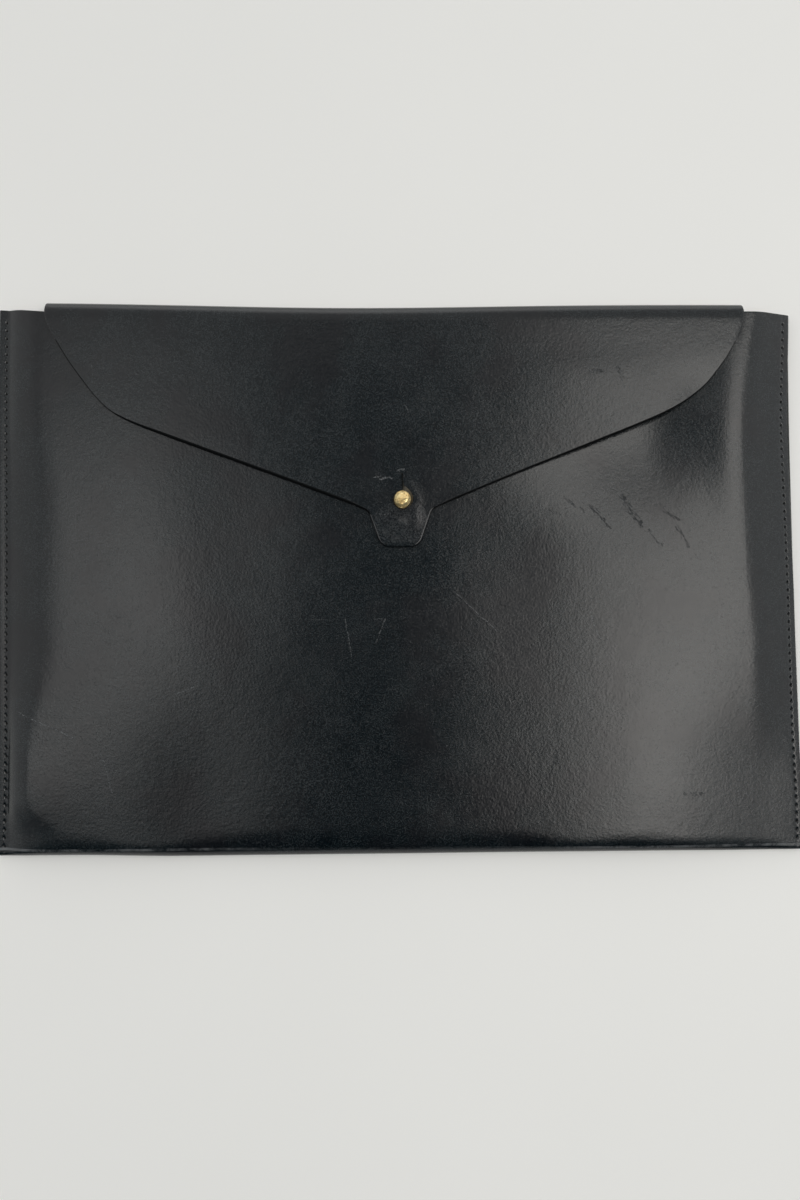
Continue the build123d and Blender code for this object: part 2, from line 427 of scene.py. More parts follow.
def pocket_points(x, loop):
    """Points of the sheet's section at one place along the width: rows are run, end shift, side."""
    run, end_shift, side = loop.T
    slope = seam_rise(x, np.where(run <= 1, mouth_y + (bottom_y - mouth_y) * run, bottom_y))
    gap = seam_gap + (open_gap - seam_gap) * slope
    bend = leather + gap / 2
    fold_y = bottom_y + bottom_lift(x) + bend
    inset = max(edge_round - (side_x - abs(x)), 0)
    half = half_leather - edge_round + math.sqrt(edge_round**2 - inset**2)
    out = side * half
    in_turn = -turn_left < x < turn_right
    loose_end = mouth_y + 0.7 * mm * smooth_step(-x, 155 * mm, 170 * mm) - 0.3 * mm * (x > 0)
    back_end = bend_y if in_turn else loose_end
    front_end = front_mouth(x)
    angle = math.pi / 2 + np.clip(run - 1, 0, 1) * math.pi
    radius = bend - half_leather + out
    front_y = front_end + (fold_y - front_end) * np.clip(run, 0, 1)
    back_y = fold_y + (back_end - fold_y) * np.clip(run - 2, 0, 1)
    on_front, on_back = run <= 1, run >= 2
    y = np.where(on_front, front_y, np.where(on_back, back_y, fold_y + radius * np.cos(angle)))
    z = np.where(
        on_front,
        2 * bend - half_leather + out,
        np.where(on_back, half_leather - out, bend + radius * np.sin(angle)),
    )
    y = y + end_shift * (not in_turn) * on_back + end_shift * on_front
    fade = np.cos(np.clip(run - 1, 0, 1) * math.pi / 2) ** 2
    z = z + front_wave(x, y) * fade
    on_face = side > 0.99
    sunk = awl_sink * stitch_mark(x, y) * on_face
    sunk += groove_sink * math.exp(-(((abs(x) - stitch_x) / awl_reach) ** 2)) * on_face
    z = z - np.where(on_front, sunk, np.where(on_back, -sunk, 0.0))
    return np.stack([x + side_shift(x, y), y, z], 1)


def pocket_loop(rows_per_step):
    """Once round the sheet's section, and the places of the coarse rows in it."""
    panel_rows, fold_rows, inner_rows, inner_fold_rows, round_rows = 132, 18, 46, 8, 4
    reach = edge_round / half_leather
    entries, coarse = [], []

    def along(start, end, rows, side, step=1):
        for index in range(rows * step):
            if index % step == 0:
                coarse.append(len(entries))
            entries.append((start + (end - start) * index / (rows * step), 0.0, side))

    def round_end(run, way):
        turn = np.linspace(0, math.pi / 2, round_rows)
        out = np.stack([edge_round * (np.sin(turn) - 1), 1 - reach * (1 - np.cos(turn))], 1)
        for shift, side in np.concatenate([out, out[::-1] * (1, -1)])[::way]:
            coarse.append(len(entries))
            entries.append((run, shift, side))

    along(0.004, 1, panel_rows, 1.0, rows_per_step)
    along(1, 2, fold_rows, 1.0)
    along(2, 2.996, panel_rows, 1.0, rows_per_step)
    round_end(3, 1)
    along(2.99, 2, inner_rows, -1.0)
    along(2, 1, inner_fold_rows, -1.0)
    along(1, 0.01, inner_rows, -1.0)
    round_end(0, -1)
    return np.array(entries), coarse


def pocket_mesh():
    """The folded sheet: coarse over the panels, fine along the seams where the stitches sink in."""
    fine_from = side_x - 9 * mm
    beside = [1.2, 2.4, 3.4, 4.0, 4.4, 4.7, 4.95, 5.2, 5.45]
    beside += [5.7, 5.95, 6.2, 6.45, 6.7, 7.0, 7.5, 8.1]
    seam = np.append(fine_from + np.array(beside) * mm, side_x - edge_round)
    rim = side_x - edge_round * (1 - np.sin(np.linspace(0, math.pi / 2, 4)[1:]))

    def half_columns(flap_end):
        panel = np.linspace(0, flap_end - 3 * mm, 49)
        at_flap = [flap_end - 0.02 * mm, flap_end + 0.02 * mm]
        slope = np.linspace(flap_end + 1.5 * mm, fine_from, 8)
        return np.concatenate([panel, at_flap, slope, seam, rim])

    columns = np.concatenate([-half_columns(turn_left)[:0:-1], half_columns(turn_right)])
    fine_loop, coarse_rows = pocket_loop(3)
    coarse_loop = fine_loop[coarse_rows]
    vertices, faces, starts, kinds = [], [], [], []
    for x in columns:
        fine = abs(x) >= fine_from - 1e-9
        starts.append(len(vertices))
        kinds.append(fine)
        vertices.extend(pocket_points(x, fine_loop if fine else coarse_loop))
    fine_count, coarse_count = len(fine_loop), len(coarse_loop)
    for column in range(len(columns) - 1):
        a, b = starts[column], starts[column + 1]
        fine_a, fine_b = kinds[column], kinds[column + 1]
        if fine_a == fine_b:
            count = fine_count if fine_a else coarse_count
            for row in range(count):
                after = (row + 1) % count
                faces.append((a + row, a + after, b + after, b + row))
            continue
        single, many = (b, a) if fine_a else (a, b)
        for row in range(coarse_count):
            after = (row + 1) % coarse_count
            first = coarse_rows[row]
            last = coarse_rows[after] if after else fine_count
            chain = [many + index % fine_count for index in range(first, last + 1)]
            faces.append((single + after, single + row, *chain))
    faces.append(tuple(range(starts[0], starts[0] + fine_count)))
    faces.append(tuple(range(starts[-1], starts[-1] + fine_count)))
    return vertices, faces


pocket_cuts = [
    ((60, 27.5), (68, 25.5), 0.5, 0.8),
    ((69, 33), (77, 27), 0.6, 0.7),
    ((80.5, 29), (88, 20), 1.5, 1.0),
    ((94, 33), (101.5, 21), 2.0, 1.0),
    ((105, 18.5), (110, 12), 0.4, 0.9),
    ((109, 29), (118, 23), 0.6, 1.0),
    ((117, 20), (121.5, 12), 1.0, 0.9),
    ((63.6, -74.8), (63.5, -79.8), 1.2, 0.9),
    ((118.7, -92.9), (126.3, -93.4), 1.2, 0.8),
    ((-75.1, -53.6), (-60.4, -54.4), 0.2, 0.6),
]
pocket_scuffs = [
    ((79.2, -16.1), (81.6, -23.7), 0.25, 0.9),
    ((81.6, -23.7), (84.1, -28.8), 0.25, 0.9),
    ((-24.2, -18.8), (-21.5, -34.2), 0.18, 0.45),
    ((-12.1, -18.6), (-7.3, -18.3), 0.18, 0.4),
    ((-7.4, -18.6), (-11.2, -28.2), 0.18, 0.5),
    ((22.1, -7.4), (39.7, -23.9), 0.16, 0.5),
    ((-125.5, -73.1), (-120.9, -89.6), 0.2, 0.8),
    ((-160.5, -56.3), (-136.3, -67.2), 0.25, 0.9),
    ((-95.5, -49.8), (-85.6, -45.8), 0.25, 0.8),
]
# A broken pale line along the bottom fold: the crest is rubbed there, and the line is also a painted
# highlight for the crest's glint.
rubbed_and_glinting_fold = (bottom_y / mm + 3.2, -0.0055, 0.7)
pocket_leather = leather_material(
    "pocket_leather", pocket_cuts, pocket_scuffs, wear_and_glint=rubbed_and_glinting_fold, holes=True
)
pocket = new_piece("pocket_sheet", *pocket_mesh(), pocket_leather)
spots = np.empty(3 * len(pocket.data.vertices))
pocket.data.vertices.foreach_get("co", spots)
spots = spots.reshape(-1, 3)
awl_holes = stitch_mark(spots[:, 0] - side_shift(spots[:, 0], spots[:, 1]), spots[:, 1])
pocket.data.attributes.new("awl_hole", "FLOAT", "POINT").data.foreach_set("value", awl_holes)
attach(pocket, "pocket_body")
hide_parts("pocket")

# Side seams: a row of black waxed saddle stitches down each side, set into a groove so that the
# thread is level with the leather on both faces, with an awl hole at each end of a stitch.
thread_radius = 0.26 * mm
thread_below = 0.18 * mm
back_thread_z = 0.3 * mm
stitch_length = stitch_pitch - 0.5 * mm
stitch_dip = 0.75 * mm
waxed_black = (0.003, 0.003, 0.0035, 1)
worn_black = (0.009, 0.009, 0.010, 1)


def stitch_tree(material):
    """Stitches at an even pitch along a line of points."""
    tree = bpy.data.node_groups.new("saddle_stitches", "GeometryNodeTree")
    tree.interface.new_socket("Geometry", in_out="INPUT", socket_type="NodeSocketGeometry")
    for name in ("Stitches", "Length", "Sink", "Radius"):
        kind = "NodeSocketInt" if name == "Stitches" else "NodeSocketFloat"
        tree.interface.new_socket(name, in_out="INPUT", socket_type=kind)
    tree.interface.new_socket("Geometry", in_out="OUTPUT", socket_type="NodeSocketGeometry")
    add, join = tree.nodes.new, tree.links.new
    given, result = add("NodeGroupInput"), add("NodeGroupOutput")
    line = add("GeometryNodeMeshToCurve")
    join(given.outputs["Geometry"], line.inputs["Mesh"])
    places = add("GeometryNodeResampleCurve")
    join(line.outputs["Curve"], places.inputs["Curve"])
    join(given.outputs["Stitches"], places.inputs["Count"])
    facing = add("FunctionNodeAlignRotationToVector")
    facing.axis = "Y"
    join(add("GeometryNodeInputTangent").outputs["Tangent"], facing.inputs["Vector"])
    arch = add("GeometryNodeCurveQuadraticBezier")
    arch.inputs["Resolution"].default_value = 6
    for name, share in (("Start", -0.5), ("End", 0.5)):
        point = add("ShaderNodeCombineXYZ")
        join(math_node(tree, "MULTIPLY", given.outputs["Length"], share), point.inputs["Y"])
        join(given.outputs["Sink"], point.inputs["Z"])
        join(point.outputs[0], arch.inputs[name])
    arch.inputs["Middle"].default_value = (0, 0, 0)
    thread = add("GeometryNodeCurvePrimitiveCircle")
    thread.inputs["Resolution"].default_value = 6
    join(given.outputs["Radius"], thread.inputs["Radius"])
    stitch = add("GeometryNodeCurveToMesh")
    stitch.inputs["Fill Caps"].default_value = True
    join(arch.outputs["Curve"], stitch.inputs["Curve"])
    join(thread.outputs["Curve"], stitch.inputs["Profile Curve"])
    row = add("GeometryNodeInstanceOnPoints")
    join(places.outputs["Curve"], row.inputs["Points"])
    join(stitch.outputs["Mesh"], row.inputs["Instance"])
    join(facing.outputs["Rotation"], row.inputs["Rotation"])
    real = add("GeometryNodeRealizeInstances")
    join(row.outputs["Instances"], real.inputs["Geometry"])
    finish = add("GeometryNodeSetMaterial")
    finish.inputs["Material"].default_value = material
    join(real.outputs["Geometry"], finish.inputs["Geometry"])
    join(finish.outputs["Geometry"], result.inputs["Geometry"])
    return tree


def seam_path(side, face):
    """Middles of a seam's stitches on the front (1) or back (-1) of the wallet."""
    row = np.arange(stitch_count)
    y = stitch_start + (row + 0.5) * stitch_pitch
    x = np.full(stitch_count, side * stitch_x)
    front = 2 * leather + seam_gap + (open_gap - seam_gap) * seam_rise(x, y) + front_wave(x, y)
    z = front - thread_below if face > 0 else np.full(stitch_count, back_thread_z)
    return np.stack([x + side_shift(x, y), y, z], 1)


black_thread, tree, shader = new_material("black_thread")
shader.inputs["Roughness"].default_value = 0.55
twist = tree.nodes.new("ShaderNodeTexWave")
twist.bands_direction = "DIAGONAL"
twist.inputs["Scale"].default_value = 1.1
twist.inputs["Distortion"].default_value = 0.6
tree.links.new(place_in_mm(tree), twist.inputs["Vector"])
thread_tone = tones(tree, twist.outputs["Fac"], (0, waxed_black), (1, worn_black))
tree.links.new(thread_tone, shader.inputs["Base Color"])
emboss(tree, shader, twist.outputs["Fac"], 0.06 * mm)

saddle_stitches = stitch_tree(black_thread)
for seam_name, side in (("left_stitching", -1), ("right_stitching", 1)):
    rows = []
    for face in (1, -1):
        points = seam_path(side, face)
        line = bpy.data.meshes.new("seam_line")
        line.from_pydata([tuple(p) for p in points], [(i, i + 1) for i in range(stitch_count - 1)], [])
        seam = bpy.data.objects.new("seam_line", line)
        bpy.context.scene.collection.objects.link(seam)
        modifier = seam.modifiers.new("stitches", "NODES")
        modifier.node_group = saddle_stitches
        sizes = {
            "Stitches": stitch_count,
            "Length": stitch_length,
            "Sink": -stitch_dip * face,
            "Radius": thread_radius,
        }
        for item in saddle_stitches.interface.items_tree:
            if item.in_out == "INPUT" and item.name in sizes:
                modifier[item.identifier] = sizes[item.name]
        depsgraph = bpy.context.evaluated_depsgraph_get()
        rows.append(bpy.data.meshes.new_from_object(seam.evaluated_get(depsgraph)))
        bpy.data.objects.remove(seam)
    both = bmesh.new()
    for row in rows:
        both.from_mesh(row)
    bmesh.ops.recalc_face_normals(both, faces=both.faces)
    thread_mesh = bpy.data.meshes.new(seam_name + "_thread")
    both.to_mesh(thread_mesh)
    both.free()
    thread_mesh.shade_smooth()
    thread_mesh.materials.append(black_thread)
    stitches = bpy.data.objects.new(seam_name + "_thread", thread_mesh)
    bpy.context.scene.collection.objects.link(stitches)
    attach(stitches, "pocket_body")
    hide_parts(seam_name)

# Ball stud: turned from solid brass, polished and since scuffed, with a narrow neck and a round
# foot that stands on the front panel. A slotted brass screw holds it from inside the pocket.
stud_low, stud_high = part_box("stud_head")
stud_y = (stud_low.y + stud_high.y) / 2
ball_radius = (stud_high.x - stud_low.x) / 2
ball_z = stud_high.z - ball_radius
neck_radius = 2.1 * mm
foot_radius = 3.2 * mm
foot_top = stud_low.z + 0.9 * mm
foot_chamfer = 0.3 * mm
edge_break = 0.1 * mm
tarnished_brass = (1.0, 0.66, 0.25, 1)
bright_brass = (1.0, 0.82, 0.42, 1)


def brass_material(name, roughness, dents):
    """Yellow brass with a patchy tarnish, hairline scratches and small dents."""
    material, tree, shader = new_material(name)
    shader.inputs["Metallic"].default_value = 0.46
    place = place_in_mm(tree)
    patches = noise(tree, place, 0.45, 4.0, 0.6)
    tone = tones(tree, patches, (0.3, tarnished_brass), (0.62, bright_brass))
    tree.links.new(tone, shader.inputs["Base Color"])
    hairs = streaks(tree, place, 35, 0.55, 0.7)
    rough = layered(tree, roughness, (hairs, 0.16), (patches, 0.08))
    tree.links.new(rough, shader.inputs["Roughness"])
    emboss(tree, shader, layered(tree, noise(tree, place, 0.4, 2.0), (hairs, 0.1)), dents * mm)
    return material


def stud_profile():
    """Half outline of the stud, from the middle of its foot up to the top of the ball."""
    foot_base = stud_low.z
    profile = [(0, foot_base), (foot_radius - edge_break, foot_base), (foot_radius, foot_base + edge_break)]
    profile += [(foot_radius, foot_top - foot_chamfer), (foot_radius - edge_break, foot_top - edge_break)]
    profile += [(foot_radius - foot_chamfer, foot_top), (neck_radius + 0.2 * mm, foot_top + 0.05 * mm)]
    profile += [(neck_radius, foot_top + 0.3 * mm)]
    start = -math.acos(neck_radius / ball_radius)
    profile += [(neck_radius, ball_z + ball_radius * math.sin(start) - 0.15 * mm)]
    for angle in np.linspace(start, math.pi / 2, 34):
        profile.append((ball_radius * math.cos(angle), ball_z + ball_radius * math.sin(angle)))
    profile[-1] = (0, stud_high.z)
    return profile


def spun(profile, turns):
    """Closed shape turned from a half outline about the stud's axis."""
    vertices, faces, rings = [], [], []
    for radius, z in profile:
        count = 1 if radius < 1e-9 else turns
        rings.append([len(vertices) + index for index in range(count)])
        for index in range(count):
            angle = 2 * math.pi * index / turns
            vertices.append((radius * math.cos(angle), stud_y + radius * math.sin(angle), z))
    for low, high in zip(rings, rings[1:]):
        for index in range(turns):
            after = (index + 1) % turns
            corner = [low[index % len(low)], low[after % len(low)]]
            corner += [high[after % len(high)], high[index % len(high)]]
            faces.append(tuple(dict.fromkeys(corner)))
    return vertices, faces


polished_brass = brass_material("polished_brass", roughness=0.05, dents=1.7)
plain_brass = brass_material("plain_brass", roughness=0.3, dents=0.05)
stud = new_piece("ball_stud", *spun(stud_profile(), turns=64), polished_brass)
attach(stud, "pocket_body")
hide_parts("stud_head")
screw_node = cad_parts["stud_screw"]
screw_node.data.materials.clear()
screw_node.data.materials.append(plain_brass)

# Flap: the back panel runs on round the mouth and comes down the front, with sloping edges, large
# round corners and a narrow tab. The keyhole in the tab has stretched to one side over the stud.
flap_middle_z = (flap_low.z + flap_high.z) / 2
turn_radius = (flap_middle_z - half_leather) / 2
turn_z = half_leather + turn_radius
roll_ease = 3.0
roll_steps = np.linspace(0, 1, 241)
roll_tilt = math.pi / 2 * (1 - roll_steps) ** roll_ease
mean_tilt = (roll_tilt[1:] + roll_tilt[:-1]) / 2
roll_rise = np.concatenate([[0], np.cumsum(np.sin(mean_tilt))])
roll_reach = np.concatenate([[0], np.cumsum(np.cos(mean_tilt))])
roll_reach *= turn_radius / roll_rise[-1]
roll_rise *= turn_radius / roll_rise[-1]
roll_start = bend_y + turn_radius - roll_reach[-1]
flat_run = 7.0
panel_top = roll_start - flat_run * mm
rim_round = 0.35 * mm
rim_steps = np.linspace(0, math.pi / 2, 5)
turn_columns = 119
tab_end_y = flap_low.y
tab_corner = 5.4 * mm
shoulder_corner = 4.0 * mm
tab_corners = [(-14.2, 26.9), (-8.9, tab_end_y / mm), (7.05, tab_end_y / mm), (12.5, 27.5)]
left_edge = [(-19, 28.9), (-47.3, 39.6), (-78.7, 51.2), (-99.6, 58.9), (-110.1, 63.0), (-118, 66.7)]
left_edge += [(-123.6, 70.3), (-129, 75.8), (-134.5, 82.9), (-139.5, 89.9), (-143.7, 96.6)]
left_edge += [(-146.9, 102.2), (-149.2, 107.4), (-turn_left / mm, bend_y / mm)]
right_edge = [(18, 30.1), (48, 42.5), (80.1, 55.3), (101.6, 63.9), (112.4, 68.8), (121, 73.8)]
right_edge += [(129.5, 80.4), (134.8, 86.6), (139.7, 93.4), (143.3, 99.9), (146.0, 106.5)]
right_edge += [(turn_right / mm, bend_y / mm)]
keyhole_radius = 3.75 * mm
hole_low_radius = 3.62 * mm
slit_half = 0.28 * mm
slit_top = stud_y + 11.3 * mm


def rounded_corner(before, corner, after, radius, steps):
    """Points of a round that eases one corner of an outline."""
    to_before, to_after = (before - corner).normalized(), (after - corner).normalized()
    opening = to_before.angle(to_after) / 2
    centre = corner + (to_before + to_after).normalized() * radius / math.sin(opening)
    first = corner + to_before * radius / math.tan(opening) - centre
    last = corner + to_after * radius / math.tan(opening) - centre
    return [centre + first.slerp(last, step / steps).normalized() * radius for step in range(steps + 1)]


def eased(points):
    """A smooth curve through points given in millimetres."""
    knots = [np.array(p) * mm for p in points]
    knots = [2 * knots[0] - knots[1], *knots, 2 * knots[-1] - knots[-2]]
    curve = []
    for a, b, c, d in zip(knots, knots[1:], knots[2:], knots[3:]):
        for t in np.arange(8) / 8:
            square = (2 * a - 5 * b + 4 * c - d) * t * t
            cube = (3 * b - a - 3 * c + d) * t**3
            curve.append(b + ((c - a) * t + square + cube) / 2)
    return np.array([*curve, knots[-2]])


left_curve, right_curve = eased(left_edge), eased(right_edge)


def edge_left(y):
    """Where the flap's left edge is at a place up the round corner."""
    return np.interp(y, left_curve[:, 1], left_curve[:, 0])


def edge_right(y):
    """Where the flap's right edge is at a place up the round corner."""
    return np.interp(y, right_curve[:, 1], right_curve[:, 0])


def flap_outline():
    """The flap's edge from the left end of the turn round the tab to the right end."""
    corners = [Vector(p) * mm for p in tab_corners]
    low_left = left_curve[left_curve[:, 1] < panel_top - 0.3 * mm][::-1]
    low_right = right_curve[right_curve[:, 1] < panel_top - 0.3 * mm]
    line = [Vector(left_edge[0]) * mm, *corners, Vector(right_edge[0]) * mm]
    points = [Vector((edge_left(panel_top), panel_top)), *(Vector(p) for p in low_left)]
    for number, radius in enumerate((shoulder_corner, tab_corner, tab_corner, shoulder_corner), 1):
        points += rounded_corner(line[number - 1], line[number], line[number + 1], radius, 8)
        if number == 2:
            points += [points[-1].lerp(Vector((3.0 * mm, tab_end_y)), step / 6) for step in range(1, 6)]
    points += [*(Vector(p) for p in low_right), Vector((edge_right(panel_top), panel_top))]
    return np.array([tuple(p) for p in points])


def flap_lift(x, y):
    """How far the flap stands off its plane: swollen where it has stretched beside the stud."""
    dx, dy = x / mm, (y - stud_y) / mm
    away = np.hypot(dx, dy)
    bearing = np.degrees(np.arctan2(dy, dx))
    stretched = smooth_step(bearing, -60, -15) * (1 - smooth_step(bearing, 60, 95))
    lift = 0.13 * np.exp(-(((away - 6.0) / 2.6) ** 2)) * stretched
    lift += 0.34 * np.exp(-(((dx - 5.0) / 3.2) ** 2) - ((dy + 7.5) / 4.0) ** 2)
    lift += 0.15 * np.exp(-((away / 7) ** 2))
    lift -= 0.2 * np.exp(-((dx / 0.9) ** 2) - ((dy + 8.4) / 0.9) ** 2)
    rim = np.concatenate([left_curve[::-1], right_curve])
    from_edge = (y - np.interp(x, rim[:, 0], rim[:, 1])) / mm
    curl = np.exp(-((np.maximum(from_edge, 0) / 13) ** 2))
    lift += 0.25 * curl * np.exp(-(((x / mm + 58) / 40) ** 2))
    lift += 0.2 * np.exp(-(((x / mm - 70) / 26) ** 2) - ((y / mm - 88) / 20) ** 2)
    lift -= 1.1 * np.exp(-(((x / mm - 132) / 14) ** 2) - ((y / mm - 76) / 11) ** 2)
    lift += 0.08 * np.sin(x / (23 * mm) + 0.5) * np.sin(y / (21 * mm))
    return lift * mm * (1 - smooth_step(y, panel_top - 14 * mm, panel_top))


def rim_width(edge):
    """How wide the flap's upper edge has been rounded over, along its outline."""
    x = edge[:, 0] / mm
    width = 0.35 + 0.7 * smooth_step(-x, 13, 24) * (1 - smooth_step(-x, 98, 125))
    width += 0.35 * smooth_step(x, 13, 24) * (1 - smooth_step(x, 100, 125))
    return (width + 0.3 * (1 - smooth_step(np.abs(x), 10, 16))) * mm


def keyhole_edges():
    """Upper and lower edge of the keyhole: a round hole and slit, the upper edge torn to the right."""
    side = math.asin(slit_half / hole_low_radius)
    slit_bearing, tear_bearing, last_bearing = 88, 60, -268
    bearings = np.linspace(slit_bearing, tear_bearing, 22)
    bearings = np.concatenate([bearings, np.linspace(tear_bearing, last_bearing, 61)[1:]])
    torn = np.interp(
        bearings,
        (-60, -30, -15, 0, 15, 30, 45, 60, 70, 78, 84, 87, 88),
        (3.75, 3.85, 4.2, 4.45, 4.6, 4.8, 5.0, 5.4, 5.75, 6.0, 6.4, 8.0, 10.2),
    )
    torn = np.where(bearings < -60, keyhole_radius / mm, torn)
    low_end, join = 10.2 * mm, math.degrees(math.pi / 2 - side)
    hole_share = 0.4
    upper, lower = [], []
    for bearing, radius in zip(bearings, torn):
        turn = math.radians(bearing)
        upper.append((math.cos(turn) * radius * mm, stud_y + math.sin(turn) * radius * mm))
        share = (bearing - tear_bearing) / (slit_bearing - tear_bearing)
        if share > hole_share:
            start = hole_low_radius * math.cos(side)
            up_slit = (share - hole_share) / (1 - hole_share)
            lower.append((slit_half, stud_y + start + (low_end - start) * up_slit))
            continue
        if share > 0:
            turn = math.radians(tear_bearing + (join - tear_bearing) * share / hole_share)
        turn = max(turn, -1.5 * math.pi + side)
        lower.append((hole_low_radius * math.cos(turn), stud_y + hole_low_radius * math.sin(turn)))
    rise = np.linspace(upper[-1][1], slit_top, 16)[1:]
    left = [(-slit_half, y) for y in rise]
    tip = [(0, slit_top + slit_half), (slit_half, slit_top)]
    return np.array(upper + left + tip), np.array(lower + left + tip)


def outward(loop):
    """Directions out of a closed or open line of points, away from its left-hand side."""
    run = np.roll(loop, -1, 0) - np.roll(loop, 1, 0)
    normal = np.stack([run[:, 1], -run[:, 0]], 1)
    return normal / np.linalg.norm(normal, axis=1)[:, None]


def inside(points, loop):
    """Which points lie inside a closed outline."""
    found = np.zeros(len(points), bool)
    for a, b in zip(loop, np.roll(loop, -1, 0)):
        crosses = (a[1] > points[:, 1]) != (b[1] > points[:, 1])
        at = a[0] + (points[:, 1] - a[1]) * (b[0] - a[0]) / (b[1] - a[1] + 1e-15)
        found ^= crosses & (points[:, 0] < at)
    return found


def flap_mesh():
    """The flat of the flap as a closed sheet, and which of its faces are raw cut leather."""
    edge = flap_outline()
    out = outward(edge)
    out[0], out[-1] = (-1, 0), (1, 0)
    width = rim_width(edge)[:, None]
    drop = np.minimum(width[:, 0], 1.05 * mm)
    inset, under_inset = edge - out * width, edge - out * rim_round
    inset[0, 1] = inset[-1, 1] = under_inset[0, 1] = under_inset[-1, 1] = panel_top
    top_x = np.linspace(inset[-1, 0], inset[0, 0], turn_columns)[1:-1]
    seam = np.stack([top_x, np.full(len(top_x), panel_top)], 1)
    hole_round = 0.12 * mm
    hole_top, hole_low = keyhole_edges()
    hole_out = -outward(hole_top)
    hole = hole_top - hole_out * hole_round
    ring = np.concatenate([inset, seam])
    if not inside(np.array([[0, panel_top - 1 * mm]]), ring)[0]:
        raise ValueError("the flap's outline is open")
    if inside(hole, hole_top).mean() > 0.5:
        hole = hole_top + hole_out * hole_round
        hole_out = -hole_out

    coarse_step, fine_step = 2.4, 0.6
    fine_side, fine_low, fine_high = 12.0, 18.0, 50.0
    grid_x, grid_y = np.meshgrid(np.arange(-150, 150.1, coarse_step), np.arange(11, 106, coarse_step))
    fine_x = np.arange(-fine_side, fine_side + 0.1, fine_step)
    fine_x, fine_y = np.meshgrid(fine_x, np.arange(fine_low, fine_high, fine_step))
    coarse = np.stack([grid_x.ravel(), grid_y.ravel()], 1) * mm
    fine = np.stack([fine_x.ravel(), fine_y.ravel()], 1) * mm
    patch_side, patch_low, patch_high = fine_side + fine_step, fine_low - fine_step, fine_high + fine_step
    in_patch = (np.abs(coarse[:, 0]) < patch_side * mm) & (coarse[:, 1] < patch_high * mm)
    in_patch &= coarse[:, 1] > patch_low * mm
    inner = np.concatenate([coarse[~in_patch], fine])
    inner = inner[inside(inner, ring) & ~inside(inner, hole)]
    gaps = np.min(np.linalg.norm(inner[:, None] - np.concatenate([ring, hole])[None], axis=2), 1)
    is_fine = (np.abs(inner[:, 0]) < patch_side * mm) & (inner[:, 1] < patch_high * mm)
    inner = inner[gaps > np.where(is_fine, 0.35, 1.1) * mm]

    plan = np.concatenate([ring, hole, inner])
    ring_count, hole_count = len(ring), len(hole)
    lines = [(i, (i + 1) % ring_count) for i in range(ring_count)]
    lines += [(ring_count + i, ring_count + (i + 1) % hole_count) for i in range(hole_count)]
    result = delaunay_2d_cdt([Vector(p / mm) for p in plan], lines, [], 0, 1e-6)
    if len(result[0]) != len(plan):
        raise ValueError("the flap's plan lost points")
    order = [sources[0] for sources in result[3]]
    triangles = np.array([[order[corner] for corner in face] for face in result[2]])
    middles = plan[triangles].mean(1)
    triangles = triangles[inside(middles, ring) & ~inside(middles, hole)]

    vertices, faces, raw = [], [], []

    def add(xy, height):
        x, y = xy[:, 0], xy[:, 1]
        first = len(vertices)
        vertices.extend(np.stack([x, y, flap_middle_z + flap_lift(x, y) + height], 1))
        return np.arange(first, first + len(xy))

    plan_low = plan.copy()
    plan_low[: len(edge)] = under_inset
    plan_low[ring_count : ring_count + hole_count] = hole_low
    upper = add(plan, half_leather)
    lower = add(plan_low, -half_leather)
    faces += [tuple(upper[t]) for t in triangles]
    faces += [tuple(lower[t][::-1]) for t in triangles]
    edge_count = len(edge)
    rims = [upper[:edge_count]]
    for step in rim_steps[1:]:
        ring_xy = inset + (edge - inset) * math.sin(step)
        rims.append(add(ring_xy, half_leather - drop * (1 - math.cos(step))))
    for step in rim_steps[::-1][:-1]:
        ring_xy = under_inset + (edge - under_inset) * math.sin(step)
        rims.append(add(ring_xy, -half_leather + rim_round * (1 - math.cos(step))))
    rims.append(lower[:edge_count])
    for high, low in zip(rims, rims[1:]):
        faces += [(high[i], low[i], low[i + 1], high[i + 1]) for i in range(edge_count - 1)]
    across = list(upper[edge_count - 1 : ring_count]) + [upper[0]]
    under = list(lower[edge_count - 1 : ring_count]) + [lower[0]]
    left_rim = [rim[0] for rim in rims[1:-1]]
    right_rim = [rim[-1] for rim in rims[1:-1]]
    faces.append(tuple(across + left_rim + under[::-1] + right_rim[::-1]))
    walls = [upper[ring_count : ring_count + hole_count]]
    walls.append(add(hole_top, half_leather - hole_round))
    walls.append(lower[ring_count : ring_count + hole_count])
    for level, (high, low) in enumerate(zip(walls, walls[1:])):
        for i in range(hole_count):
            after = (i + 1) % hole_count
            if level:
                raw.append(len(faces))
            faces.append((high[i], high[after], low[after], low[i]))
    return vertices, faces, raw, ring


flap_cuts = [
    ((80, 86), (87, 87), 1.0, 0.9),
    ((92, 88), (94, 83), 0.8, 0.8),
    ((-0.5, 23.2), (0.4, 23.2), 1.0, 0.5),
]
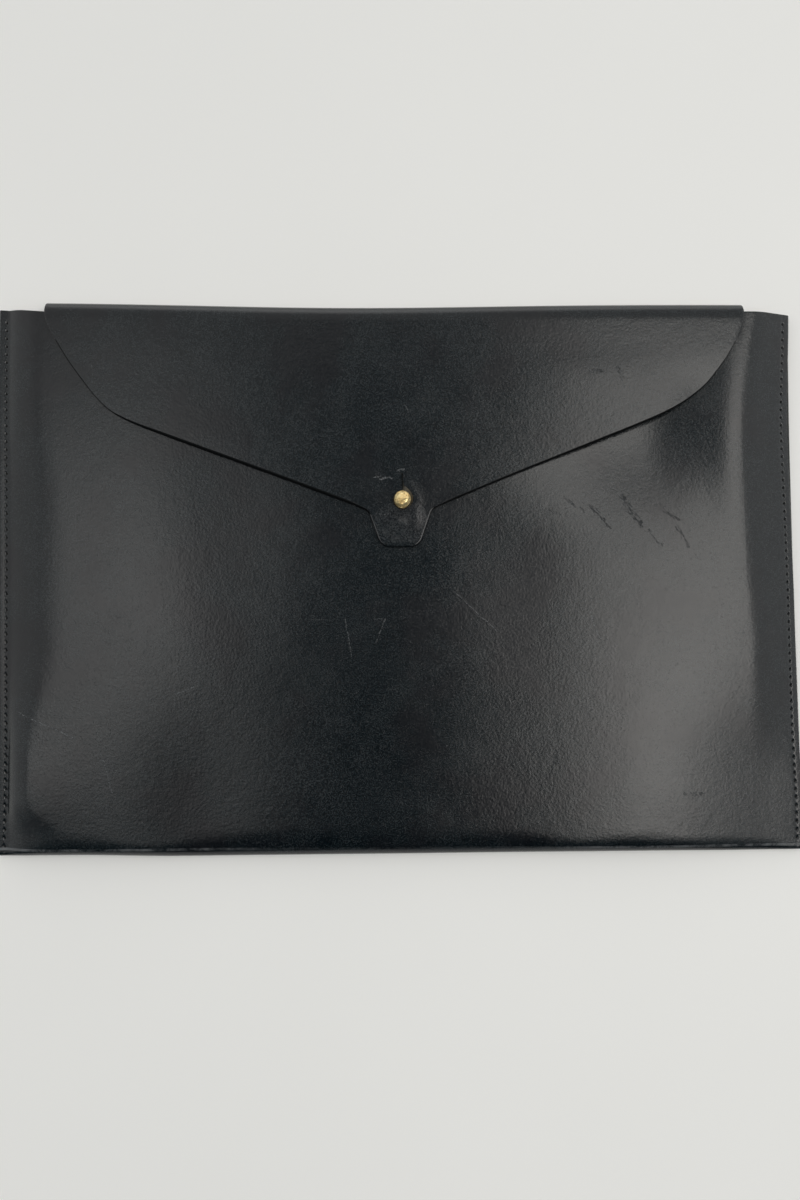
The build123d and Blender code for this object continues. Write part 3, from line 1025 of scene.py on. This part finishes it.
# Pale marks on the flap. The last three lighten broad areas: two are painted highlights, along the stretched
# lip right of the slit and on the swelling below right of the stud, and the third lightens the whole tab in
# speckles.
flap_scuffs_and_highlights = [
    ((-11.8, 40.7), (-8.9, 41.6), 0.3, 1.0),
    ((-9.3, 40.3), (-6.3, 41.1), 0.5, 1.0),
    ((-6.8, 41.5), (-4.2, 40.7), 0.3, 0.9),
    ((-1.7, 43.7), (0.8, 44.5), 0.8, 0.5),
    ((0.7, 22.4), (1.8, 21.2), 0.3, 0.6),
    ((-7.5, 25.5), (-4.8, 25.7), 0.2, 0.4),
    ((-129.8, 88.6), (-129.8, 81.0), 0.1, 0.3),
    ((112.2, 102.8), (107.2, 85.5), 0.1, 0.2),
    ((1.4, 71.7), (2.7, 68.7), 0.2, 0.35),
    ((2.6, 42.0), (7.5, 31.4), 1.4, 0.08),
    ((6.4, 27.5), (6.6, 21.5), 4.0, 0.10),
    ((-3.5, 22), (2.5, 22), 17.0, 0.15),
]
flap_leather = leather_material("flap_leather", flap_cuts, flap_scuffs_and_highlights)
burnished_edge, tree, shader = new_material("burnished_edge")
fibres = noise(tree, place_in_mm(tree), 1.2, 4.0, 0.65)
edge_tone = tones(tree, fibres, (0, (0.0006, 0.0010, 0.0013, 1)), (1, (0.0026, 0.0032, 0.0036, 1)))
tree.links.new(edge_tone, shader.inputs["Base Color"])
tree.links.new(layered(tree, 0.5, (fibres, 0.25)), shader.inputs["Roughness"])
shader.inputs["Specular IOR Level"].default_value = 0.12
emboss(tree, shader, fibres, 0.08 * mm)
raw_edge, tree, shader = new_material("raw_leather_edge")
shader.inputs["Roughness"].default_value = 0.8
fibres = noise(tree, place_in_mm(tree), 1.6, 4.0)
raw_tone = tones(tree, fibres, (0, (0.045, 0.042, 0.034, 1)), (1, (0.16, 0.15, 0.125, 1)))
tree.links.new(raw_tone, shader.inputs["Base Color"])

flap_vertices, flap_faces, raw_faces, rim_line = flap_mesh()
flap = new_piece("flap_panel", flap_vertices, flap_faces, flap_leather)
flap.data.set_sharp_from_angle(angle=math.radians(9))
flap.data.materials.append(raw_edge)
flap.data.materials.append(burnished_edge)
raw_middles = [np.mean([flap_vertices[corner] for corner in flap_faces[face]], 0) for face in raw_faces]
flap_centres = np.array([polygon.center[:2] for polygon in flap.data.polygons])
on_rim = ~inside(flap_centres, rim_line) & (flap_centres[:, 1] < panel_top - 0.01 * mm)
for polygon in flap.data.polygons:
    flat_from = 0.8 if abs(polygon.center.x) < 13 * mm else 0.985
    if on_rim[polygon.index] and abs(polygon.normal.z) < flat_from:
        polygon.material_index = 2
    off = np.array(polygon.center) - raw_middles
    if np.min(np.einsum("ij,ij->i", off, off)) < (0.002 * mm) ** 2:
        polygon.material_index = 1
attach(flap, "flap_body")
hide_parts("flap")

# Turn: the same sheet where it rolls over the mouth. It is drawn in four short lengths that together make
# one curve.
turn_ends = [-90, -60, 0, 27.6, 90 + flat_run]
turn_rows = 48


def turn_place(turn):
    """Middle of the sheet and the way out of it: -90 is the back, 90 the front, and mm beyond."""
    if turn > 90:
        return roll_start - (turn - 90) * mm, flap_middle_z, 0.0, 1.0
    if turn < 0:
        angle = math.radians(turn)
        out = Vector((math.cos(angle), math.sin(angle)))
        return bend_y + turn_radius * out.x, turn_z + turn_radius * out.y, out.x, out.y
    share = turn / 90
    tilt = np.interp(share, roll_steps, roll_tilt)
    y = bend_y + turn_radius - np.interp(share, roll_steps, roll_reach)
    return y, turn_z + np.interp(share, roll_steps, roll_rise), math.sin(tilt), math.cos(tilt)


def turn_section(turn):
    """Closed section of the sheet at one place round the turn, across the whole width."""
    y, z, way_y, way_z = turn_place(turn)
    left_x, right_x = edge_left(y), edge_right(y)
    across = np.linspace(right_x - rim_round, left_x + rim_round, turn_columns)
    inset = rim_round * (1 - np.sin(rim_steps[1:]))
    inset = np.concatenate([inset, inset[::-1]])
    rim_side = half_leather - rim_round + rim_round * np.cos(rim_steps[1:])
    rim_side = np.concatenate([rim_side, -rim_side[::-1]])
    left = np.stack([left_x + inset, rim_side], 1)
    right = np.stack([right_x - inset, rim_side], 1)[::-1]
    top = np.stack([across, np.full(len(across), half_leather)], 1)
    low = np.stack([across[::-1], np.full(len(across), -half_leather)], 1)
    loop = np.concatenate([top, left, low, right])
    settled = math.cos(math.radians(turn)) ** 2 if turn < 0 else 1 - smooth_step(turn, 25, 90 + flat_run)
    place_y = y + way_y * loop[:, 1] - mouth_sag(loop[:, 0]) * settled
    return np.stack([loop[:, 0], place_y, z + way_z * loop[:, 1]], 1)


for number in range(1, 5):
    first_turn, last_turn = turn_ends[number - 1], turn_ends[number]
    sections = [turn_section(turn) for turn in np.linspace(first_turn, last_turn, turn_rows + 1)]
    count = len(sections[0])
    turn_faces = [tuple(range(count)), tuple(range(turn_rows * count, (turn_rows + 1) * count))]
    for row in range(turn_rows):
        for index in range(count):
            after = (index + 1) % count
            a, b = row * count, (row + 1) * count
            turn_faces.append((a + index, a + after, b + after, b + index))
    length = new_piece(f"turn_{number}", np.concatenate(sections), turn_faces, flap_leather)
    first_middle, last_middle = sections[0].mean(0), sections[-1].mean(0)
    way = np.array((0, last_middle[1] - first_middle[1], last_middle[2] - first_middle[2]))
    way /= np.linalg.norm(way)
    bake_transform(length)
    if number < 4:
        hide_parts(f"fold_strip_{number}")

# Floor, light and camera: a pale table under soft light, seen from above and a little below
# the middle, as the wallet lies in the photograph.
floor_half = 4.0
floor_glow = 0.08
backdrop_glow = 0.8
photo_height = 1200
photo_focal_length = 902
film_height = 36.0
table, tree, shader = new_material("pale_table")
clouds = noise(tree, place_in_mm(tree), 0.004, 3.0)
table_tone = tones(tree, clouds, (0, (0.85, 0.85, 0.83, 1)), (1, (0.90, 0.90, 0.88, 1)))
tree.links.new(table_tone, shader.inputs["Base Color"])
shader.inputs["Roughness"].default_value = 0.6
shader.inputs["Emission Color"].default_value = (1.0, 1.0, 0.985, 1)
rays = tree.nodes.new("ShaderNodeLightPath").outputs
seen = math_node(tree, "MAXIMUM", rays["Is Camera Ray"], rays["Is Glossy Ray"])
seen = math_node(tree, "MAXIMUM", seen, rays["Is Transmission Ray"])
tree.links.new(math_node(tree, "MULTIPLY", seen, floor_glow), shader.inputs["Emission Strength"])
floor_corners = [(x * floor_half, y * floor_half, 0) for x, y in ((-1, -1), (1, -1), (1, 1), (-1, 1))]
floor_mesh = bpy.data.meshes.new("floor")
floor_mesh.from_pydata(floor_corners, [], [(0, 1, 2, 3)])
floor_mesh.materials.append(table)
floor = bpy.data.objects.new("floor", floor_mesh)
bpy.context.scene.collection.objects.link(floor)


def soft_box(name, place, size, power, colour, fades):
    """A rectangular soft light over the table that fades between places along X and Y."""
    lamp = bpy.data.lights.new(name, "AREA")
    lamp.shape = "RECTANGLE"
    lamp.size, lamp.size_y = size
    lamp.energy = power
    lamp.color = colour
    lamp.use_nodes = True
    tree = lamp.node_tree
    where = tree.nodes.new("ShaderNodeSeparateXYZ")
    tree.links.new(tree.nodes.new("ShaderNodeNewGeometry").outputs["Position"], where.inputs[0])
    strength = None
    for axis, start, end, at_start, at_end in fades:
        fade = ramp(tree, where.outputs[axis], start, end, at_start, at_end)
        strength = math_node(tree, "MULTIPLY", strength, fade) if strength else fade
    tree.links.new(strength, tree.nodes["Emission"].inputs["Strength"])
    holder = bpy.data.objects.new(name, lamp)
    holder.location = place
    bpy.context.scene.collection.objects.link(holder)


soft_box(
    "right_light",
    place=(0.655, 0.055, 1.6),
    size=(0.75, 1.25),
    power=11.4,
    colour=(1.0, 0.965, 0.92),
    fades=[("X", 0.29, 0.48, 0, 1), ("Y", -0.25, 0.38, 1, 0.75)],
)
left_fades = [("X", -0.60, -0.12, 1, 0), ("X", -0.97, -0.62, 0.1, 1)]
left_fades += [("Y", 0.12, 0.62, 1, 0.32), ("Y", -0.55, -0.05, 0.25, 1)]
soft_box(
    "left_light",
    place=(-0.545, 0.05, 1.6),
    size=(0.85, 1.2),
    power=7.3,
    colour=(1.0, 0.97, 0.94),
    fades=left_fades,
)

world = bpy.data.worlds.new("studio")
bpy.context.scene.world = world
world.use_nodes = True
tree = world.node_tree
backdrop = tree.nodes["Background"]
aim = tree.nodes.new("ShaderNodeSeparateXYZ")
tree.links.new(tree.nodes.new("ShaderNodeTexCoord").outputs["Generated"], aim.inputs[0])
right_wall = ramp(tree, aim.outputs["X"], 0.30, 0.62, 0.0, 0.95)
left_wall = ramp(tree, aim.outputs["X"], -0.62, -0.22, 0.78, 0.0)
side_walls = math_node(tree, "MAXIMUM", right_wall, left_wall)
side_walls = math_node(tree, "MULTIPLY", side_walls, ramp(tree, aim.outputs["Y"], -0.6, -0.15, 0.15, 1.0))
far_end = ramp(tree, aim.outputs["Y"], 0.30, 0.34, 0.0, 0.6)
far_wall = ramp(tree, aim.outputs["Y"], 0.74, 0.98, 0.0, 1.5)
near_wall = ramp(tree, aim.outputs["Y"], -0.98, -0.88, 0.7, 0.0)
ceiling = ramp(tree, aim.outputs["Y"], -0.3, 0.30, 0.02, 0.145)
walls = side_walls
for part in (far_end, far_wall, near_wall, ceiling):
    walls = math_node(tree, "MAXIMUM", walls, part)
rays = tree.nodes.new("ShaderNodeLightPath").outputs
# The leather mirrors a plain room with a dark ceiling. The camera sees an even backdrop instead.
seen = math_node(tree, "MAXIMUM", rays["Is Camera Ray"], rays["Is Transmission Ray"])
unseen = math_node(tree, "MULTIPLY", walls, math_node(tree, "SUBTRACT", 1.0, seen))
walls = math_node(tree, "ADD", unseen, math_node(tree, "MULTIPLY", seen, backdrop_glow))
tree.links.new(walls, backdrop.inputs["Strength"])
cast = tones(tree, walls, (0, (0.70, 1.0, 1.14, 1)), (0.45, (1.0, 1.0, 0.99, 1)))
tree.links.new(cast, backdrop.inputs["Color"])

camera_data = bpy.data.cameras.new("camera")
camera_data.sensor_fit = "VERTICAL"
camera_data.sensor_height = film_height
camera_data.lens = film_height * photo_focal_length / photo_height
camera = bpy.data.objects.new("camera", camera_data)
camera.location = (-10.6 * mm, -25.6 * mm, 386.9 * mm)
camera_tilt = Matrix.Rotation(math.radians(2.694), 3, Vector((2.266, -1.422, -0.317)))
camera.rotation_euler = camera_tilt.to_euler()
bpy.context.scene.collection.objects.link(camera)
bpy.context.scene.camera = camera
bpy.context.scene.view_settings.view_transform = "Standard"
